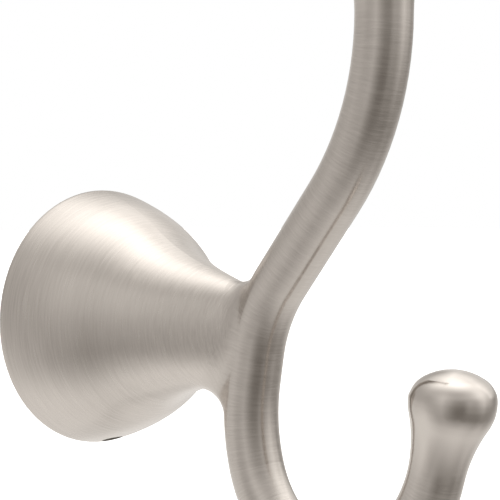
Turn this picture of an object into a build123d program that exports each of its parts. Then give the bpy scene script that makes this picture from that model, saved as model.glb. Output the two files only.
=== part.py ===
from build123d import *
import math
import os

# Double wall hook. Millimetres. The wall is the plane y = 0, the hook reaches out along -Y, +Z is up.
# The origin is the centre of the round base on the wall.

# bell shaped base, its outer outline followed from the wall outward as tangent arcs
baseRadius = 25.5
baseWall = 2.5
rimRound = 2.7
rimTurn = 15.5
shoulderRadius = 67.0
shoulderTurn = 7.5
waistRadius = 40.5
waistTurn = 12.4
hollowFloorRound = 2.5

# arm, one round bar bent in the middle plane, followed up and down from where it crosses the base's axis
armRadius = 5.1
armReach = 46.13
armLean = 19.45
throatRadius = 28.2
throatTurnAbove = 21.05
throatTurnBelow = 9.55
slantLength = 20.45
upperBendRadius = 49.0
dropLength = 5.3
entryRadius = 34.0
entryTurn = 27.1
bowlRadius = 21.38
bowlTurn = 106.5
riseBendRadius = 26.8
riseTilt = 15.65
riseRadius = 4.9
taperTurn = 24.0
taperSteps = 5

# neck, an upright oval where it ends inside the arm, its sizes as shares of the arm's radius
neckWidthShare = 0.824
neckHeightShare = 1.53
neckInsetShare = 0.3
neckDropShare = 0.118
neckWidthSlope = -0.45
neckHeightSlope = -0.35
neckSteps = 8
joinShare = 1.47

# knob at each end of the arm: a concave flare, a round shoulder, a rounded rim and a domed cap
knobRadius = 7.47
flareRadius = 26.6
shoulderRound = 8.6
knobRimRound = 4.7
domeRadius = 9.95
flareSteps = 16
rimSteps = 8

# lean of each knob's cap, and the stretch from under to over its widest ring where the lean changes
lowerCapTilt = 3.35
upperCapTilt = 0.0
leanBelow = 0.8
leanAbove = 1.6

# bracket that is screwed to the wall, its upper and lower edges undercut
bracketMargin = 6.0
bracketWidth = 17.0
bracketThickness = 6.0
bracketSlope = 15.0
bracketCorner = 1.5
bracketBackHeight = 2 * (baseRadius - baseWall - bracketMargin)
wallScrewEdge = 5.0
wallScrewHole = 4.6
wallScrewHead = 8.6
pocketSize = 10.0
pocketDepth = 2.5
pocketCorner = 1.5

# set screw in the underside of the base, and the lugs inside the hollow
setScrewDiameter = 4.0
setScrewLength = 6.0
setScrewOut = 3.0
setScrewPoint = 2.4
setScrewPointHeight = 0.8
setScrewSocket = 2.0
setScrewSocketDepth = 2.5
setScrewEdge = 0.25
threadClearance = 0.05
touchClearance = 0.02
seatClearance = 0.15
lugWidth = 9.0
lugShort = 0.2
lugClearance = 0.4

# how far a cut runs past the face it starts from
cutPast = 1.0

sidePlane = Plane(origin=(0, 0, 0), x_dir=(0, -1, 0), z_dir=(-1, 0, 0))
baseAxis = Axis((0, 0, 0), (0, -1, 0))
standing = (Align.CENTER, Align.CENTER, Align.MIN)
hanging = (Align.CENTER, Align.CENTER, Align.MAX)


def walk(start, heading, pieces):
    """Follow straights (None, length) and tangent arcs (radius, turn); return edges, end and heading."""
    edges = []
    x, y = start
    for radius, amount in pieces:
        if radius is None:
            nextX = x + amount * math.cos(math.radians(heading))
            nextY = y + amount * math.sin(math.radians(heading))
            edges.append(Edge.make_line((x, y), (nextX, nextY)))
        else:
            reach = math.copysign(radius, amount)
            centreX = x - reach * math.sin(math.radians(heading))
            centreY = y + reach * math.cos(math.radians(heading))
            stops = []
            for turn in (amount / 2, amount):
                angle = math.radians(heading + turn)
                stops.append((centreX + reach * math.sin(angle), centreY - reach * math.cos(angle)))
            edges.append(Edge.make_three_point_arc((x, y), stops[0], stops[1]))
            nextX, nextY = stops[1]
            heading = heading + amount
        x, y = nextX, nextY
    return edges, (x, y), heading


def place(x, y):
    """Turn reach and height in the middle plane into a point of the model."""
    return (0, -x, y)


def ease(start, startSlope, end, endSlope, length, share):
    """Cubic from one value and slope to another over a length."""
    rest = 1 - share
    first = start * rest * rest * (1 + 2 * share) + startSlope * length * share * rest * rest
    second = end * share * share * (3 - 2 * share) - endSlope * length * share * share * rest
    return first + second


def neck(start, slope):
    """Bell's neck, from its round end to an upright oval inside the arm."""
    length = armReach - neckInsetShare * armRadius - start[0]
    rings = []
    for index in range(neckSteps + 1):
        share = index / neckSteps
        halfWidth = ease(start[1], slope, neckWidthShare * armRadius, neckWidthSlope, length, share)
        halfHeight = ease(start[1], slope, neckHeightShare * armRadius, neckHeightSlope, length, share)
        drop = ease(0, 0, neckDropShare * armRadius, 0, length, share)
        origin = place(start[0] + length * share, -drop)
        plane = Plane(origin=origin, x_dir=(1, 0, 0), z_dir=(0, -1, 0))
        rings.append(Wire.make_ellipse(halfWidth, halfHeight, plane))
    return Solid.make_loft(rings)


def turned(outline, corners):
    """Turn an outline about the base axis, closed by straight lines through the corners."""
    lines = [Edge.make_line(corners[i], corners[i + 1]) for i in range(len(corners) - 1)]
    return revolve(sidePlane * make_face(Wire(outline + lines)), axis=baseAxis)


def bell():
    """Bell shaped base, solid, turned about the base axis, with its neck."""
    pieces = [(rimRound, -rimTurn), (shoulderRadius, -shoulderTurn), (waistRadius, -waistTurn)]
    outline, end, heading = walk((0, baseRadius), 0, pieces)
    body = turned(outline, [end, (end[0], 0), (0, 0), (0, baseRadius)])
    return body + neck(end, math.tan(math.radians(heading)))


def ring(centre, tilt, radius):
    """Circle across the arm; tilt is the lean of its axis from upright, outward."""
    angle = math.radians(tilt)
    plane = Plane(origin=place(*centre), x_dir=(1, 0, 0), z_dir=(0, -math.sin(angle), math.cos(angle)))
    return Wire.make_circle(radius, plane)


def rimMeet():
    """Angle from the cap's axis at which the rounded rim passes into the dome."""
    return math.asin((knobRadius - knobRimRound) / (domeRadius - knobRimRound))


def knobProfile(footRadius):
    """Distances along a knob's axis up to its dome, with the radii there, and the widest ring's distance."""
    turn = math.acos(1 - (knobRadius - footRadius) / (flareRadius + shoulderRound))
    length = (flareRadius + shoulderRound) * math.sin(turn)
    stations = []
    for index in range(1, flareSteps + 1):
        distance = length * index / flareSteps
        if distance < flareRadius * math.sin(turn):
            radius = footRadius + flareRadius - math.sqrt(flareRadius**2 - distance**2)
        else:
            radius = knobRadius - shoulderRound + math.sqrt(shoulderRound**2 - (length - distance) ** 2)
        stations.append((distance, radius))
    meet = rimMeet()
    for index in range(1, rimSteps + 1):
        angle = math.pi / 2 + (meet - math.pi / 2) * index / rimSteps
        distance = length + knobRimRound * math.cos(angle)
        stations.append((distance, knobRadius - knobRimRound + knobRimRound * math.sin(angle)))
    return stations, length


def knobRings(foot, tilt, capTilt, footRadius):
    """Rings from the flare's foot to the dome; their lean passes from the stem's to the cap's."""
    stations, widest = knobProfile(footRadius)

    def leanAt(distance):
        share = (distance - widest + leanBelow) / (leanBelow + leanAbove)
        return ease(tilt, 0, capTilt, 0, 1, min(max(share, 0), 1))

    rings = [ring(foot, tilt, footRadius)]
    x, y = foot
    last = 0
    for distance, radius in stations:
        lean = math.radians(leanAt((last + distance) / 2))
        x += (distance - last) * math.sin(lean)
        y += (distance - last) * math.cos(lean)
        rings.append(ring((x, y), leanAt(distance), radius))
        last = distance
    return rings, (x, y)


def dome(centre, tilt):
    """Round top of a knob, on the ring where the rim ends."""
    meet = rimMeet()
    width = domeRadius * math.sin(meet)
    height = domeRadius * (1 - math.cos(meet))
    middle = (domeRadius * math.sin(meet / 2), height - domeRadius * (1 - math.cos(meet / 2)))
    outline = [
        Edge.make_line((0, 0), (width, 0)),
        Edge.make_three_point_arc((width, 0), middle, (0, height)),
        Edge.make_line((0, height), (0, 0)),
    ]
    angle = math.radians(tilt)
    origin = place(*centre)
    plane = Plane(origin=origin, x_dir=(1, 0, 0), z_dir=(0, -math.cos(angle), -math.sin(angle)))
    axis = Axis(origin, (0, -math.sin(angle), math.cos(angle)))
    return revolve(plane * make_face(Wire(outline)), axis=axis)


def arm():
    """Bent bar with a knob at both ends; the upper end stands upright."""
    upperBendTurn = armLean + throatTurnAbove
    upward = [(throatRadius, -throatTurnAbove), (None, slantLength), (upperBendRadius, upperBendTurn)]
    _, tip, _ = walk((armReach, 0), 90 - armLean, upward)
    downward = [
        (upperBendRadius, -upperBendTurn),
        (None, slantLength),
        (throatRadius, throatTurnAbove + throatTurnBelow),
        (None, dropLength),
        (entryRadius, entryTurn),
        (bowlRadius, bowlTurn),
    ]
    riseTurn = 180 - riseTilt + armLean - throatTurnBelow - entryTurn - bowlTurn
    edges, taperStart, heading = walk(tip, -90, downward + [(riseBendRadius, riseTurn - taperTurn)])
    path = Wire([sidePlane * edge for edge in edges])
    bar = sweep(make_face(ring(tip, 180, armRadius)), path=path)

    upperRings, upperTop = knobRings(tip, 0, upperCapTilt, armRadius)
    upperKnob = Solid.make_loft(upperRings) + dome(upperTop, upperCapTilt)

    rings = [ring(taperStart, 90 - heading, armRadius)]
    for index in range(1, taperSteps + 1):
        share = index / taperSteps
        _, foot, direction = walk(taperStart, heading, [(riseBendRadius, taperTurn * share)])
        rings.append(ring(foot, 90 - direction, ease(armRadius, 0, riseRadius, 0, 1, share)))
    lowerRings, lowerTop = knobRings(foot, riseTilt, lowerCapTilt, riseRadius)
    lowerKnob = Solid.make_loft(rings + lowerRings[1:]) + dome(lowerTop, lowerCapTilt)
    return bar + upperKnob + lowerKnob


def bracketEdge(depth):
    """Half height of the bracket at a distance from the wall."""
    return bracketBackHeight / 2 + depth * math.tan(math.radians(bracketSlope))


def sideBlock(points, width):
    """Outline in the middle plane, thickened to both sides of it."""
    face = sidePlane * make_face(Polyline(*points, close=True))
    return extrude(face, amount=width / 2, both=True)


def hollow():
    """Space inside the base, less the lug that hooks over the bracket and the lug for the set screw."""
    mouth = baseRadius - baseWall
    pieces = [(shoulderRadius - baseWall, -shoulderTurn), (waistRadius - baseWall, -waistTurn)]
    outline, end, _ = walk((0, mouth), -rimTurn, pieces)
    space = turned(outline, [end, (end[0], 0), (-cutPast, 0), (-cutPast, mouth), (0, mouth)])
    floorEdge = space.edges().filter_by(GeomType.CIRCLE).group_by(Axis.Y)[0]
    space = fillet(floorEdge, hollowFloorRound)

    lugDepth = bracketThickness - lugShort
    lowest = -bracketEdge(bracketThickness) - lugClearance
    lower = [(0, lowest), (lugDepth, lowest), (lugDepth, -baseRadius), (0, -baseRadius)]
    upper = [
        (0, bracketEdge(0) + seatClearance),
        (lugDepth, bracketEdge(lugDepth) + seatClearance),
        (lugDepth, baseRadius),
        (0, baseRadius),
    ]
    return space - sideBlock(lower, lugWidth) - sideBlock(upper, lugWidth)


def setScrewPlane():
    """Local frame at the inner end of the set screw, pointing down and out of the base."""
    tip = bracketEdge(setScrewOut + setScrewPoint / 2) + touchClearance
    return Plane(origin=place(setScrewOut, -tip), x_dir=(1, 0, 0), z_dir=(0, 0, -1))


def setScrew():
    shank = Cylinder(setScrewDiameter / 2, setScrewLength - setScrewPointHeight, align=standing)
    point = Cone(setScrewPoint / 2, setScrewDiameter / 2, setScrewPointHeight, align=standing)
    body = point + Pos(0, 0, setScrewPointHeight) * shank
    outer = body.edges().group_by(Axis.Z)[-1]
    body = chamfer(outer, setScrewEdge)
    socket = extrude(RegularPolygon(setScrewSocket / 2, 6, major_radius=False), amount=setScrewSocketDepth)
    body = body - Pos(0, 0, setScrewLength - setScrewSocketDepth) * socket
    return setScrewPlane() * body


def hookCasting():
    """Bell and arm in one piece with a soft round where they meet."""
    base = bell()
    bar = arm()
    whole = base + bar
    seams = new_edges(base, bar, combined=whole)
    whole = fillet(seams, joinShare * armRadius)
    threadHole = Cylinder(setScrewDiameter / 2 + threadClearance, baseRadius, align=standing)
    return whole - hollow() - setScrewPlane() * threadHole


def mountingBracket():
    outline = [
        (0, -bracketEdge(0)),
        (bracketThickness, -bracketEdge(bracketThickness)),
        (bracketThickness, bracketEdge(bracketThickness)),
        (0, bracketEdge(0)),
    ]
    body = sideBlock(outline, bracketWidth)
    corners = body.edges().filter_by(lambda e: e.bounding_box().size.Y > bracketThickness / 2)
    body = fillet(corners, bracketCorner)
    front = Plane(origin=(0, -bracketThickness, 0), x_dir=(1, 0, 0), z_dir=(0, -1, 0))
    hole = Cylinder(wallScrewHole / 2, 2 * (bracketThickness + cutPast))
    head = Cone(wallScrewHole / 2, wallScrewHead / 2, (wallScrewHead - wallScrewHole) / 2, align=hanging)
    for height in (wallScrewEdge - bracketBackHeight / 2, bracketBackHeight / 2 - wallScrewEdge):
        body = body - front * Pos(0, height, 0) * (hole + head)
    pocket = extrude(RectangleRounded(pocketSize, pocketSize, pocketCorner), amount=-pocketDepth)
    return body - front * pocket


os.makedirs("parts", exist_ok=True)
export_step(hookCasting(), "parts/hook_casting.step")
export_step(mountingBracket(), "parts/mounting_bracket.step")
export_step(setScrew(), "parts/set_screw.step")
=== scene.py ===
import bpy
import math
import numpy as np
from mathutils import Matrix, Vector


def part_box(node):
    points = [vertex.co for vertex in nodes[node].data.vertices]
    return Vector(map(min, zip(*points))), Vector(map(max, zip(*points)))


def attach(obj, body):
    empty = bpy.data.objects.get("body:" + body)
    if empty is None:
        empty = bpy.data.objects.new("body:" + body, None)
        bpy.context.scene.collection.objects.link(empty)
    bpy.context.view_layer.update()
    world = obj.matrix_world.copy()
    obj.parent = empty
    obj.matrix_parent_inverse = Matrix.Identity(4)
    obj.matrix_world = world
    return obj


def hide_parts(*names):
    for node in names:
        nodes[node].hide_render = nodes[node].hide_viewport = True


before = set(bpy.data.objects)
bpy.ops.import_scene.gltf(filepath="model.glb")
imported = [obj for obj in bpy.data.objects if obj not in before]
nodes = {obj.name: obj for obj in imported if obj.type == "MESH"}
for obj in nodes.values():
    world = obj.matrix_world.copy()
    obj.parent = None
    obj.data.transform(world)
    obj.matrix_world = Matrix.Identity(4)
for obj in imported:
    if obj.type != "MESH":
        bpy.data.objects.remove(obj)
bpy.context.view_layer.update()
scene = bpy.context.scene
print("frame loaded")

# camera at the photograph's angle
view = {
    "place": (-0.23065, -0.28345, 0.02748), "tilt": 90 - 2.209, "turn": -43.83,
    "lens": 129.6, "sensor": 36.0, "farEnd": 20.0,
}
cameraData = bpy.data.cameras.new("camera")
cameraData.lens = view["lens"]
cameraData.sensor_width = view["sensor"]
cameraData.clip_end = view["farEnd"]
camera = bpy.data.objects.new("camera", cameraData)
camera.location = view["place"]
camera.rotation_euler = (math.radians(view["tilt"]), 0, math.radians(view["turn"]))
scene.collection.objects.link(camera)
scene.camera = camera
scene.view_settings.view_transform = "Standard"

# soft studio in a dim room: each panel has its side and rise from the hook, its half width, half
# height and soft edge, all in degrees, and its strength; side counts to the right of the camera as
# the hook sees it
studio = {
    "room": 0.216, "roomTint": (1.0, 0.92, 0.84, 1), "panelTint": (1.0, 0.99, 0.97, 1),
    "backdrop": (1, 1, 1, 1),
    # box overhead: how far it reaches from the zenith, to both sides and from and to the camera
    "overheadBox": {
        "sideways": (-23, 36), "toCamera": (-37, 14),
        "soft": 32, "strength": 2.05, "horizon": 0.02,
    },
    "panels": [
        (-35, 0, 12, 42, 32, 0.45),
        (58, -5, 30, 20, 10, 0.16),
        (92, 17, 24, 30, 18, 0.4),
        (142, 30, 34, 21, 7, 0.45),
        (0, -90, 184, 38, 26, 0.69),
        (-144, -28, 81, 27, 32, 0.71),
        (119, -45, 32, 14, 22, 0.33),
        (-42, 39, 129, 24, 38, 0.46),
        (98, 30, 51, 3, 37, 0.76),
        (190, 13, 21, 51, 4, 0.14),
    ],
}


def link(tree, source, target):
    tree.links.new(source, target)


def giveInput(tree, socket, value):
    # a socket is linked, anything else is set
    if isinstance(value, bpy.types.NodeSocket):
        link(tree, value, socket)
    else:
        socket.default_value = value


def addNode(tree, kind, values=None, **settings):
    # values go to inputs by name or number
    node = tree.nodes.new(kind)
    for name, value in settings.items():
        setattr(node, name, value)
    for name, value in (values or {}).items():
        giveInput(tree, node.inputs[name], value)
    return node


def mathNode(tree, operation, *values):
    return addNode(tree, "ShaderNodeMath", dict(enumerate(values)), operation=operation).outputs[0]


def studioDirection(side, rise):
    turn = math.radians(view["turn"])
    front = Vector((math.sin(turn), -math.cos(turn), 0))
    right = Vector((math.cos(turn), math.sin(turn), 0))
    level = front * math.cos(math.radians(side)) + right * math.sin(math.radians(side))
    return level * math.cos(math.radians(rise)) + Vector((0, 0, math.sin(math.radians(rise))))


def softEdge(tree, value, dark, lit):
    # 0 at the dark end, 1 at the lit one
    edge = {"Value": value, "From Min": dark, "From Max": lit}
    return addNode(tree, "ShaderNodeMapRange", edge, interpolation_type="SMOOTHSTEP").outputs[0]


def panelWindow(tree, angle, middle, half, soft):
    # how far inside one pair of a panel's edges a direction lies; angles wrap round at 180 degrees
    turned = mathNode(tree, "WRAP", mathNode(tree, "SUBTRACT", angle, middle), 180, -180)
    return softEdge(tree, mathNode(tree, "ABSOLUTE", turned), half + soft, half - soft)


def overheadWindow(tree, lean, low, high, soft):
    # the same for the overhead box, whose lean is counted in degrees from the zenith
    rising = softEdge(tree, lean, low - soft, low + soft)
    falling = softEdge(tree, lean, high + soft, high - soft)
    return mathNode(tree, "MULTIPLY", rising, falling)


world = bpy.data.worlds.new("studio")
scene.world = world
world.use_nodes = True
tree = world.node_tree
tree.nodes.clear()
skyward = addNode(tree, "ShaderNodeTexCoord").outputs["Generated"]
shares = []
for side, rise in ((90, 0), (0, 0), (0, 90)):
    values = {0: skyward, 1: studioDirection(side, rise)}
    share = addNode(tree, "ShaderNodeVectorMath", values, operation="DOT_PRODUCT")
    shares.append(share.outputs["Value"])
rightward, cameraward, upward = shares
sideAngle = mathNode(tree, "DEGREES", mathNode(tree, "ARCTAN2", rightward, cameraward))
riseAngle = mathNode(tree, "DEGREES", mathNode(tree, "ARCSINE", upward))
box = studio["overheadBox"]
overhead = mathNode(tree, "GREATER_THAN", upward, box["horizon"])
for share, (low, high) in ((rightward, box["sideways"]), (cameraward, box["toCamera"])):
    lean = mathNode(tree, "DEGREES", mathNode(tree, "ARCTAN2", share, upward))
    window = overheadWindow(tree, lean, low, high, box["soft"])
    overhead = mathNode(tree, "MULTIPLY", overhead, window)
total = mathNode(tree, "MULTIPLY", overhead, box["strength"])
for side, rise, halfWidth, halfHeight, soft, strength in studio["panels"]:
    across = panelWindow(tree, sideAngle, side, halfWidth, soft)
    upright = panelWindow(tree, riseAngle, rise, halfHeight, soft)
    window = mathNode(tree, "MULTIPLY", across, upright)
    total = mathNode(tree, "MULTIPLY_ADD", window, strength, total)
values = {"Color": studio["panelTint"], "Strength": total}
panelLight = addNode(tree, "ShaderNodeBackground", values)
values = {"Color": studio["roomTint"], "Strength": studio["room"]}
roomLight = addNode(tree, "ShaderNodeBackground", values)
light = addNode(tree, "ShaderNodeAddShader", {0: panelLight.outputs[0], 1: roomLight.outputs[0]})
backdrop = addNode(tree, "ShaderNodeBackground", {"Color": studio["backdrop"]})
seen = addNode(tree, "ShaderNodeLightPath").outputs["Is Camera Ray"]
values = {0: seen, 1: light.outputs[0], 2: backdrop.outputs[0]}
choose = addNode(tree, "ShaderNodeMixShader", values)
addNode(tree, "ShaderNodeOutputWorld", {0: choose.outputs[0]})

# pale floor far below the hook
floorPaint = {
    "drop": -0.5, "size": 30, "colour": (0.9, 0.9, 0.9, 1),
    "glowColour": (1, 1, 1, 1), "glow": 0.7,
}
bpy.ops.object.select_all(action="DESELECT")
bpy.ops.mesh.primitive_plane_add(size=floorPaint["size"], location=(0, 0, floorPaint["drop"]))
floor = bpy.context.object
floor.name = "floor"
bpy.ops.object.transform_apply(location=True)
floorMaterial = bpy.data.materials.new("paleFloor")
floorMaterial.use_nodes = True
floorShader = floorMaterial.node_tree.nodes["Principled BSDF"]
floorShader.inputs["Base Color"].default_value = floorPaint["colour"]
floorShader.inputs["Emission Color"].default_value = floorPaint["glowColour"]
floorShader.inputs["Emission Strength"].default_value = floorPaint["glow"]
floor.data.materials.append(floorMaterial)
floor.visible_glossy = False
floor.visible_diffuse = False
print("camera, lights and floor placed")

# the hook's own lines, in metres and degrees: the bar is followed from where it crosses the
# base's axis, the base from the wall outward
hookLines = {
    "reach": 0.04613, "lean": 19.45, "barRadius": 0.0051,
    "throatRadius": 0.0282, "throatUp": 21.05, "throatDown": 9.55,
    "slantLength": 0.02045, "upperBendRadius": 0.049, "dropLength": 0.0053,
    "entryRadius": 0.034, "entryTurn": 27.1, "bowlRadius": 0.02138, "bowlTurn": 106.5,
    "riseRadius": 0.0268, "riseTilt": 15.65, "stemLength": 0.0132, "knobRadius": 0.00747,
    "step": 0.0004, "mergeDistance": 0.000001,
    "baseRadius": 0.0255, "baseArcs": [(0.0027, -15.5), (0.067, -7.5), (0.0405, -12.4)],
    "hollowDepth": 0.0153, "skin": 0.0018, "wallFace": 0.00001,
    "taperSeam": (0.1520, 0.1538), "taperLedge": 0.0001,
}
# where the belt's run changes from round the bar to round the bell, and fades out on the knobs
beltRun = {
    "bellOutward": 0.85, "bellInward": 0.55, "bellEnd": 0.05013, "bellHeight": 0.03,
    "bellBlend": (0.0001, 0.0016), "knobBlend": (0.008, 0.017),
}


def followLine(start, heading, pieces, step):
    # points and headings along straights (None, length) and tangent arcs (radius, turn)
    x, z = start
    points, headings = [(x, z)], [heading]
    for radius, amount in pieces:
        length = amount if radius is None else abs(math.radians(amount)) * radius
        count = max(1, round(length / step))
        turn = 0.0 if radius is None else amount / count
        for _ in range(count):
            heading += turn / 2
            x += length / count * math.cos(math.radians(heading))
            z += length / count * math.sin(math.radians(heading))
            heading += turn / 2
            points.append((x, z))
            headings.append(heading)
    return points, headings


def barLine():
    # the bar's middle line from the upper knob to the lower one
    h = hookLines
    up = [(h["throatRadius"], -h["throatUp"]), (None, h["slantLength"]),
          (h["upperBendRadius"], h["lean"] + h["throatUp"]), (None, h["stemLength"])]
    turned = h["throatDown"] + h["entryTurn"] + h["bowlTurn"]
    down = [(h["throatRadius"], h["throatDown"]), (None, h["dropLength"]),
            (h["entryRadius"], h["entryTurn"]), (h["bowlRadius"], h["bowlTurn"]),
            (h["riseRadius"], 180 - h["riseTilt"] + h["lean"] - turned), (None, h["stemLength"])]
    start = (h["reach"], 0.0)
    upPoints, upHeadings = followLine(start, 90 - h["lean"], up, h["step"])
    downPoints, downHeadings = followLine(start, -90 - h["lean"], down, h["step"])
    points = upPoints[:0:-1] + downPoints
    headings = [value + 180 for value in upHeadings[:0:-1]] + downHeadings
    reach, height = np.array(points).T
    angle = np.radians(headings)
    line = np.stack([0 * reach, -reach, height], axis=1)
    direction = np.stack([0 * reach, -np.cos(angle), np.sin(angle)], axis=1)
    along = np.concatenate([[0.0], np.cumsum(np.linalg.norm(np.diff(line, axis=0), axis=1))])
    return line, direction, along


# keeps a vector without length from being divided by zero
tiny = 1e-9


def unit(vectors):
    return vectors / np.maximum(np.linalg.norm(vectors, axis=1, keepdims=True), tiny)


def smooth(values, low, high):
    share = np.clip((values - low) / (high - low), 0, 1)
    return share * share * (3 - 2 * share)


def readRows(items, field, kind=float):
    # a field of three numbers of every item, as rows
    values = np.zeros(len(items) * 3, kind)
    items.foreach_get(field, values)
    return values.reshape(-1, 3)


def setAttribute(mesh, name, kind, values):
    attribute = mesh.attributes.new(name, kind, "POINT")
    field = "value" if kind == "FLOAT" else "vector"
    attribute.data.foreach_set(field, values.astype(np.float32).ravel())


def besideBar(co):
    # for each place, the nearest point of the bar's middle line, the bar's direction there, the
    # offset from that point, its part across the bar, and how far along the bar the place lies
    line, direction, along = barLine()
    nearest = np.array([np.argmin(((line - point) ** 2).sum(1)) for point in co])
    offset = co - line[nearest]
    axis = direction[nearest]
    past = (offset * axis).sum(1)
    radial = offset - axis * past[:, None]
    return nearest, axis, offset, radial, along[nearest] + past


def evenSeam(mesh):
    # the lower knob's taper starts a hair thinner than the bar: there both are shaded as one
    # round surface
    _, _, _, radial, barAlong = besideBar(readRows(mesh.vertices, "co"))
    thinner = hookLines["barRadius"] - np.linalg.norm(radial, axis=1)
    seamStart, seamEnd = hookLines["taperSeam"]
    beside = (barAlong > seamStart) & (barAlong < seamEnd)
    beside &= np.abs(thinner) < hookLines["taperLedge"]
    corners = np.zeros(len(mesh.loops), np.int32)
    mesh.loops.foreach_get("vertex_index", corners)
    normals = readRows(mesh.corner_normals, "vector", np.float32)
    normals[beside[corners]] = unit(radial)[corners][beside[corners]]
    mesh.normals_split_custom_set(normals)


def brushFields(mesh):
    # how the polishing belt ran: round the bar on the bar, round the base's axis on the bell
    co = readRows(mesh.vertices, "co")
    nearest, axis, offset, radial, barAlong = besideBar(co)
    _, _, along = barLine()
    # a knob's domed top is past the line's end: there the run goes on inward to its middle
    ends = (nearest == 0) | (nearest == len(along) - 1)
    inward = np.maximum(hookLines["knobRadius"] - np.linalg.norm(radial, axis=1), 0) * ends
    barAlong = barAlong + np.where(nearest == 0, -inward, inward)
    barRound = np.cross(axis, unit(radial))
    sideways = np.cross(axis, [1.0, 0, 0])
    barAngle = np.arctan2((radial * sideways).sum(1), radial[:, 0])
    bellRadial = co * [1, 0, 1]
    bellDistance = np.linalg.norm(bellRadial, axis=1)
    bellRound = np.cross([0, 1.0, 0], unit(bellRadial))
    bellAngle = np.arctan2(co[:, 2], co[:, 0])
    bellAlong = -co[:, 1] * beltRun["bellOutward"] - bellDistance * beltRun["bellInward"]
    nearBase = (-co[:, 1] < beltRun["bellEnd"]) & (np.abs(co[:, 2]) < beltRun["bellHeight"])
    offBar = np.linalg.norm(offset, axis=1) - hookLines["barRadius"]
    bellShare = smooth(offBar, *beltRun["bellBlend"]) * nearBase
    sign = np.sign((barRound * bellRound).sum(1) + tiny)[:, None]
    brush = unit(barRound * (1 - bellShare[:, None]) + bellRound * sign * bellShare[:, None])
    fromEnd = np.minimum(barAlong - along[0], along[-1] - barAlong)
    knobShare = (1 - smooth(fromEnd, *beltRun["knobBlend"])) * (1 - bellShare)
    setAttribute(mesh, "brushDirection", "FLOAT_VECTOR", brush)
    for name, angle, run in (("barPlace", barAngle, barAlong), ("bellPlace", bellAngle, bellAlong)):
        place = np.stack([np.cos(angle), np.sin(angle), run], axis=1)
        setAttribute(mesh, name, "FLOAT_VECTOR", place)
    setAttribute(mesh, "bellShare", "FLOAT", bellShare)
    setAttribute(mesh, "knobShare", "FLOAT", knobShare)


def hollowFaces(mesh):
    # the faces of the hollow and of the back, found by their place behind the base's outer line
    h = hookLines
    x, y, z = readRows(mesh.polygons, "center").T
    outline, _ = followLine((0, h["baseRadius"]), 0, h["baseArcs"], h["step"])
    depths, radii = np.array(outline).T
    inside = np.hypot(x, z) < np.interp(-y, depths, radii) - h["skin"]
    inside &= -y < h["hollowDepth"]
    return inside | (-y < h["wallFace"])


def copyNode(nodeName, pieceName):
    # own copy of a CAD node, its loose triangles merged, its smooth normals kept corner by corner
    bpy.ops.object.select_all(action="DESELECT")
    piece = bpy.data.objects.new(pieceName, nodes[nodeName].data.copy())
    mesh = piece.data
    mesh.name = pieceName
    scene.collection.objects.link(piece)
    kept = mesh.attributes.new("castNormal", "FLOAT_VECTOR", "CORNER")
    kept.data.foreach_set("vector", readRows(mesh.corner_normals, "vector", np.float32).ravel())
    bpy.context.view_layer.objects.active = piece
    piece.select_set(True)
    bpy.ops.object.mode_set(mode="EDIT")
    bpy.ops.mesh.select_all(action="SELECT")
    bpy.ops.mesh.remove_doubles(threshold=hookLines["mergeDistance"])
    bpy.ops.mesh.customdata_custom_splitnormals_clear()
    bpy.ops.object.mode_set(mode="OBJECT")
    kept = mesh.attributes["castNormal"]
    normals = readRows(kept.data, "vector", np.float32)
    mesh.attributes.remove(kept)
    mesh.normals_split_custom_set(normals)
    mesh.materials.clear()
    return piece


def newGroup(name, inputs, outputs):
    # inputs are (name, kind, start value), outputs (name, kind); returns the tree, what it is
    # given and what it gives
    group = bpy.data.node_groups.new(name, "ShaderNodeTree")
    for label, kind, value in inputs:
        socket = group.interface.new_socket(name=label, in_out="INPUT", socket_type=kind)
        socket.default_value = value
    for label, kind in outputs:
        group.interface.new_socket(name=label, in_out="OUTPUT", socket_type=kind)
    given = addNode(group, "NodeGroupInput").outputs
    result = addNode(group, "NodeGroupOutput").inputs
    return group, given, result


def useGroup(tree, group, values):
    return addNode(tree, "ShaderNodeGroup", values, node_tree=group).outputs


def attributeNode(tree, name):
    return addNode(tree, "ShaderNodeAttribute", attribute_name=name).outputs


def spread(tree, value, low, high, toLow, toHigh):
    ends = {"Value": value, "From Min": low, "From Max": high, "To Min": toLow, "To Max": toHigh}
    return addNode(tree, "ShaderNodeMapRange", ends).outputs[0]


def blendValues(tree, share, first, second):
    values = {"Factor": share, "A": first, "B": second}
    return addNode(tree, "ShaderNodeMix", values).outputs["Result"]


def blendColours(tree, share, first, second):
    # 6, 7 and 2 are the mix node's colour sockets
    values = {"Factor": share, 6: first, 7: second}
    return addNode(tree, "ShaderNodeMix", values, data_type="RGBA").outputs[2]


def metalMaterial(name):
    material = bpy.data.materials.new(name)
    material.use_nodes = True
    shader = material.node_tree.nodes["Principled BSDF"]
    shader.inputs["Metallic"].default_value = 1.0
    return material, material.node_tree, shader


def dressShader(tree, shader, colour, gloss, bumpValues):
    link(tree, colour, shader.inputs["Base Color"])
    link(tree, gloss, shader.inputs["Roughness"])
    link(tree, addNode(tree, "ShaderNodeBump", bumpValues).outputs[0], shader.inputs["Normal"])


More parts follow.
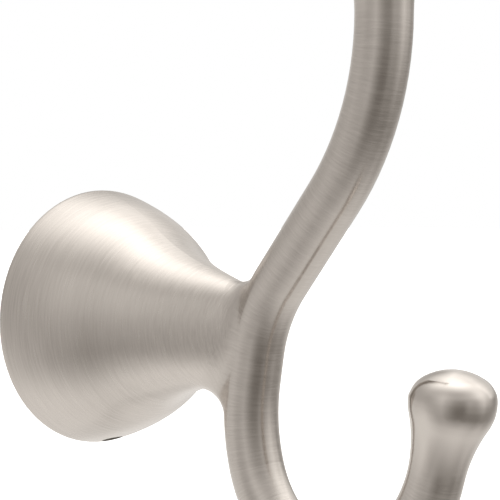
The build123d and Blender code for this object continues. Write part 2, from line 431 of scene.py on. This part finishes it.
# lines of a belt or a lathe, from 0 to 1 about an even 0.5: fine ones, and broader, longer ones
# among them; each layer has its run and its fineness as shares of the inputs
evenLine = 0.5
beltLayers = {
    "shares": [(1.0, 1.0), (0.6, 0.42)], "detail": 2.0, "roughness": 0.6, "range": (0.36, 0.64),
}
beltGroup, given, result = newGroup(
    "beltLines",
    [("Place", "NodeSocketVector", (0, 0, 0)), ("Run", "NodeSocketFloat", 1.0),
     ("Fineness", "NodeSocketFloat", 3000.0), ("Depth", "NodeSocketFloat", 1.0)],
    [("Lines", "NodeSocketFloat")],
)
layers = []
for runShare, finenessShare in beltLayers["shares"]:
    run = mathNode(beltGroup, "MULTIPLY", given["Run"], runShare)
    fineness = mathNode(beltGroup, "MULTIPLY", given["Fineness"], finenessShare)
    stretch = addNode(beltGroup, "ShaderNodeCombineXYZ", {0: run, 1: run, 2: fineness}).outputs[0]
    values = {0: given["Place"], 1: stretch}
    place = addNode(beltGroup, "ShaderNodeVectorMath", values, operation="MULTIPLY")
    noise = {
        "Vector": place.outputs[0], "Scale": 1.0, "Detail": beltLayers["detail"],
        "Roughness": beltLayers["roughness"],
    }
    layers.append(addNode(beltGroup, "ShaderNodeTexNoise", noise).outputs["Fac"])
average = mathNode(beltGroup, "MULTIPLY", mathNode(beltGroup, "ADD", *layers), 1 / len(layers))
contrast = spread(beltGroup, average, *beltLayers["range"], -evenLine, 1 - evenLine)
lines = mathNode(beltGroup, "MULTIPLY_ADD", contrast, given["Depth"], evenLine)
link(beltGroup, lines, result["Lines"])

# dull skin of a casting: fine grain with broad stains
skinLayers = {
    "Grain": {"detail": 4.0, "range": (0.3, 0.7)},
    "Stain": {"detail": 3.0, "range": (0.35, 0.65)},
}
skinGroup, given, result = newGroup(
    "castSkin",
    [("Grain Scale", "NodeSocketFloat", 4000.0), ("Stain Scale", "NodeSocketFloat", 200.0)],
    [("Grain", "NodeSocketFloat"), ("Stain", "NodeSocketFloat")],
)
place = addNode(skinGroup, "ShaderNodeTexCoord").outputs["Object"]
for name, layer in skinLayers.items():
    noise = {"Vector": place, "Scale": given[name + " Scale"], "Detail": layer["detail"]}
    strength = addNode(skinGroup, "ShaderNodeTexNoise", noise).outputs["Fac"]
    link(skinGroup, spread(skinGroup, strength, *layer["range"], 0, 1), result[name])

# brushed satin nickel: the belt's lines show in the colour, the gloss and the height; the knobs
# have no lines, are paler and shine most
nickelFinish = {
    "colour": (0.562, 0.525, 0.491, 1), "paleLine": (0.666, 0.624, 0.585, 1),
    "roughness": 0.228, "knobRoughness": 0.13, "knobPaleness": 0.85, "roughnessSpread": 0.12,
    "anisotropic": 0.7, "quarterTurn": 0.25,
    "barPlace": {"Run": 1.5, "Fineness": 4600.0, "Depth": 0.65},
    "bellPlace": {"Run": 3.4, "Fineness": 4400.0, "Depth": 0.8},
    "bump": 0.2, "bumpDistance": 0.00003,
}
nickel, tree, shader = metalMaterial("brushedNickel")
shader.inputs["Anisotropic"].default_value = nickelFinish["anisotropic"]
shader.inputs["Anisotropic Rotation"].default_value = nickelFinish["quarterTurn"]
link(tree, attributeNode(tree, "brushDirection")["Vector"], shader.inputs["Tangent"])
sides = []
for name in ("barPlace", "bellPlace"):
    values = {"Place": attributeNode(tree, name)["Vector"], **nickelFinish[name]}
    sides.append(useGroup(tree, beltGroup, values)["Lines"])
bellShare = attributeNode(tree, "bellShare")["Fac"]
knobShare = attributeNode(tree, "knobShare")["Fac"]
lines = blendValues(tree, bellShare, *sides)
lines = blendValues(tree, knobShare, lines, nickelFinish["knobPaleness"])
gloss = spread(tree, knobShare, 0, 1, nickelFinish["roughness"], nickelFinish["knobRoughness"])
offEven = mathNode(tree, "SUBTRACT", lines, evenLine)
dressShader(
    tree, shader, blendColours(tree, lines, nickelFinish["colour"], nickelFinish["paleLine"]),
    mathNode(tree, "MULTIPLY_ADD", offEven, nickelFinish["roughnessSpread"], gloss),
    {"Strength": nickelFinish["bump"], "Distance": nickelFinish["bumpDistance"], "Height": lines})

# bare casting inside the hollow, and the bracket's zinc
castFinishes = {
    "hollowCasting": {
        "colour": (0.30, 0.28, 0.26, 1), "stain": (0.42, 0.40, 0.37, 1),
        "roughness": (0.54, 0.70), "bump": 0.5,
    },
    "bareZinc": {
        "colour": (0.40, 0.41, 0.42, 1), "stain": (0.56, 0.56, 0.57, 1),
        "roughness": (0.40, 0.56), "bump": 0.35,
    },
}
castGrain = {"Grain Scale": 2600.0, "Stain Scale": 150.0}
castBumpDistance = 0.00008
castMaterials = {}
for name, finish in castFinishes.items():
    castMaterials[name], tree, shader = metalMaterial(name)
    skin = useGroup(tree, skinGroup, castGrain)
    dressShader(
        tree, shader, blendColours(tree, skin["Stain"], finish["colour"], finish["stain"]),
        spread(tree, skin["Grain"], 0, 1, *finish["roughness"]),
        {"Strength": finish["bump"], "Distance": castBumpDistance, "Height": skin["Grain"]})

satinHook = copyNode("hook_casting", "satinHook")
evenSeam(satinHook.data)
brushFields(satinHook.data)
satinHook.data.materials.append(nickel)
satinHook.data.materials.append(castMaterials["hollowCasting"])
castFaces = hollowFaces(satinHook.data).astype(np.int32)
satinHook.data.polygons.foreach_set("material_index", castFaces)
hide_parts("hook_casting")
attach(satinHook, "root")
print("hook dressed")

bracket = nodes["mounting_bracket"].data
bracket.materials.clear()
bracket.materials.append(castMaterials["bareZinc"])
print("bracket dressed")

# set screw: point, thread and hex socket, turned downward from its inner end
screwLines = {
    "crest": 0.002, "root": 0.00172, "pitch": 0.0007, "turns": 7,
    "pointRadius": 0.0012, "pointHeight": 0.0008,
    "socketWidth": 0.002, "socketDepth": 0.0025, "socketSides": 6,
    "sides": 40, "smoothAngle": 30,
    "colour": (0.16, 0.16, 0.165, 1), "worn": (0.38, 0.38, 0.385, 1), "roughness": (0.28, 0.44),
    "belt": {"Run": 300.0, "Fineness": 9000.0, "Depth": 1.0},
    "skin": {"Grain Scale": 5000.0, "Stain Scale": 600.0},
    "bump": 0.3, "bumpDistance": 0.00002,
}
low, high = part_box("set_screw")
middle = ((low[0] + high[0]) / 2, (low[1] + high[1]) / 2)
bpy.ops.object.select_all(action="DESELECT")
bpy.ops.mesh.primitive_circle_add(
    vertices=screwLines["sides"], radius=screwLines["pointRadius"], fill_type="NGON",
    location=(*middle, high[2]))
setScrew = bpy.context.object
setScrew.name = setScrew.data.name = "setScrew"
bpy.ops.object.mode_set(mode="EDIT")
bpy.ops.mesh.select_all(action="SELECT")
stations = [(screwLines["pointHeight"], screwLines["root"])]
for _ in range(screwLines["turns"]):
    stations.append((screwLines["pitch"] / 2, screwLines["crest"]))
    stations.append((screwLines["pitch"] / 2, screwLines["root"]))
used = sum(height for height, _ in stations)
stations.append((high[2] - low[2] - used, screwLines["root"]))
height, radius = high[2], screwLines["pointRadius"]
for drop, nextRadius in stations:
    height -= drop
    bpy.ops.mesh.extrude_region_move(TRANSFORM_OT_translate={"value": (0, 0, -drop)})
    scale = nextRadius / radius
    bpy.ops.transform.resize(value=(scale, scale, 1), center_override=(*middle, height))
    radius = nextRadius
bpy.ops.mesh.select_all(action="SELECT")
bpy.ops.mesh.normals_make_consistent(inside=False)
bpy.ops.object.mode_set(mode="OBJECT")
bpy.ops.object.transform_apply(location=True)
bpy.ops.object.select_all(action="DESELECT")
bpy.ops.mesh.primitive_cylinder_add(
    vertices=screwLines["socketSides"], radius=screwLines["socketWidth"] / math.sqrt(3),
    depth=2 * screwLines["socketDepth"], location=(*middle, low[2]))
key = bpy.context.object
bpy.ops.object.transform_apply(location=True)
bpy.ops.object.select_all(action="DESELECT")
setScrew.select_set(True)
bpy.context.view_layer.objects.active = setScrew
socket = setScrew.modifiers.new("socket", "BOOLEAN")
socket.operation = "DIFFERENCE"
socket.object = key
bpy.ops.object.modifier_apply(modifier="socket")
bpy.data.objects.remove(key)
bpy.ops.object.shade_smooth_by_angle(angle=math.radians(screwLines["smoothAngle"]))
steel, tree, shader = metalMaterial("turnedSteel")
place = addNode(tree, "ShaderNodeTexCoord").outputs["Object"]
turned = useGroup(tree, beltGroup, {"Place": place, **screwLines["belt"]})["Lines"]
skin = useGroup(tree, skinGroup, screwLines["skin"])
dressShader(
    tree, shader, blendColours(tree, skin["Stain"], screwLines["colour"], screwLines["worn"]),
    spread(tree, turned, 0, 1, *screwLines["roughness"]),
    {"Strength": screwLines["bump"], "Distance": screwLines["bumpDistance"], "Height": turned})
setScrew.data.materials.append(steel)
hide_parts("set_screw")
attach(setScrew, "root")
print("set screw turned")
